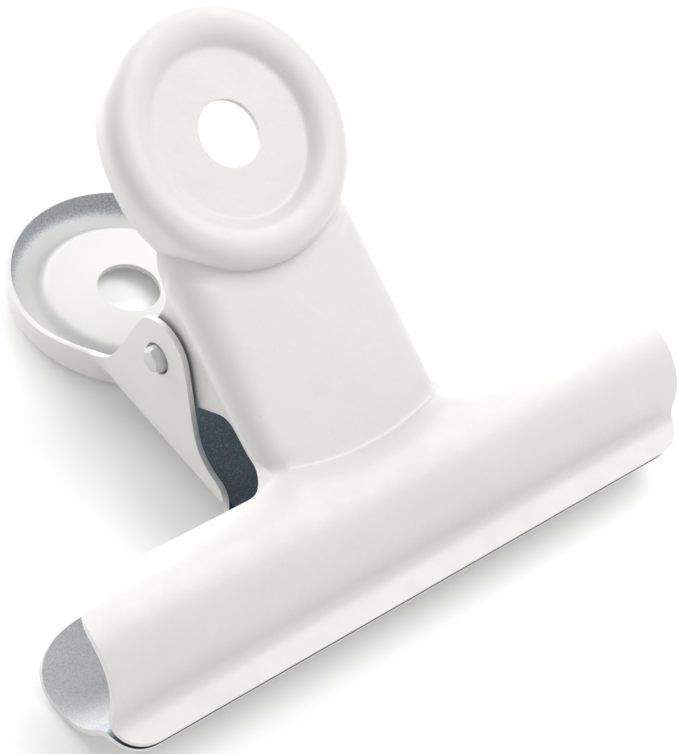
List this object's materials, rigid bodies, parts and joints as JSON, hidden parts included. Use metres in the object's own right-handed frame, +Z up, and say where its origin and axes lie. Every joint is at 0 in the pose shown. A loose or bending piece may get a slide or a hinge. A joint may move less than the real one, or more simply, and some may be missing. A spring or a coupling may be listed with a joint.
{
  "type": "hinge clip",
  "caption": "Sprung hinge clip: two stamped white sheet-steel jaws with barrel-shaped gripping edges and dished round thumb discs, hinged on a cross pin with a torsion spring.",
  "frame": {"origin": "middle of the footprint on the surface the clip lies on, under its bounding box", "axes": "+X along the gripping edges, +Y from the gripping edges towards the thumb discs, +Z up, with the clip lying on its rear jaw"},
  "size_m": [0.076, 0.0634, 0.0404],
  "materials": {
    "jaw_coat": "satin white powder coat outside, thin dusty coat over grey steel inside",
    "pin_coat": "satin white powder coat, thin on the pressed flats",
    "spring_steel": "bright drawn spring wire"
  },
  "bodies": {
    "rear_body": {"rear_jaw": "jaw_coat", "pivot_pin": "pin_coat", "torsion_spring": "spring_steel"},
    "front_body": {"front_jaw": "jaw_coat"}
  },
  "joints": [
    {"name": "jaw_hinge", "type": "hinge", "parent": "rear_body", "child": "front_body", "pos_m": [0, 0.00105, 0.01364], "axis": [-1, 0, 0], "range_deg": [0, 50], "stiffness_Nm_per_rad": 0.2, "springref_deg": -34.38, "deforming": ["torsion_spring"]}
  ]
}
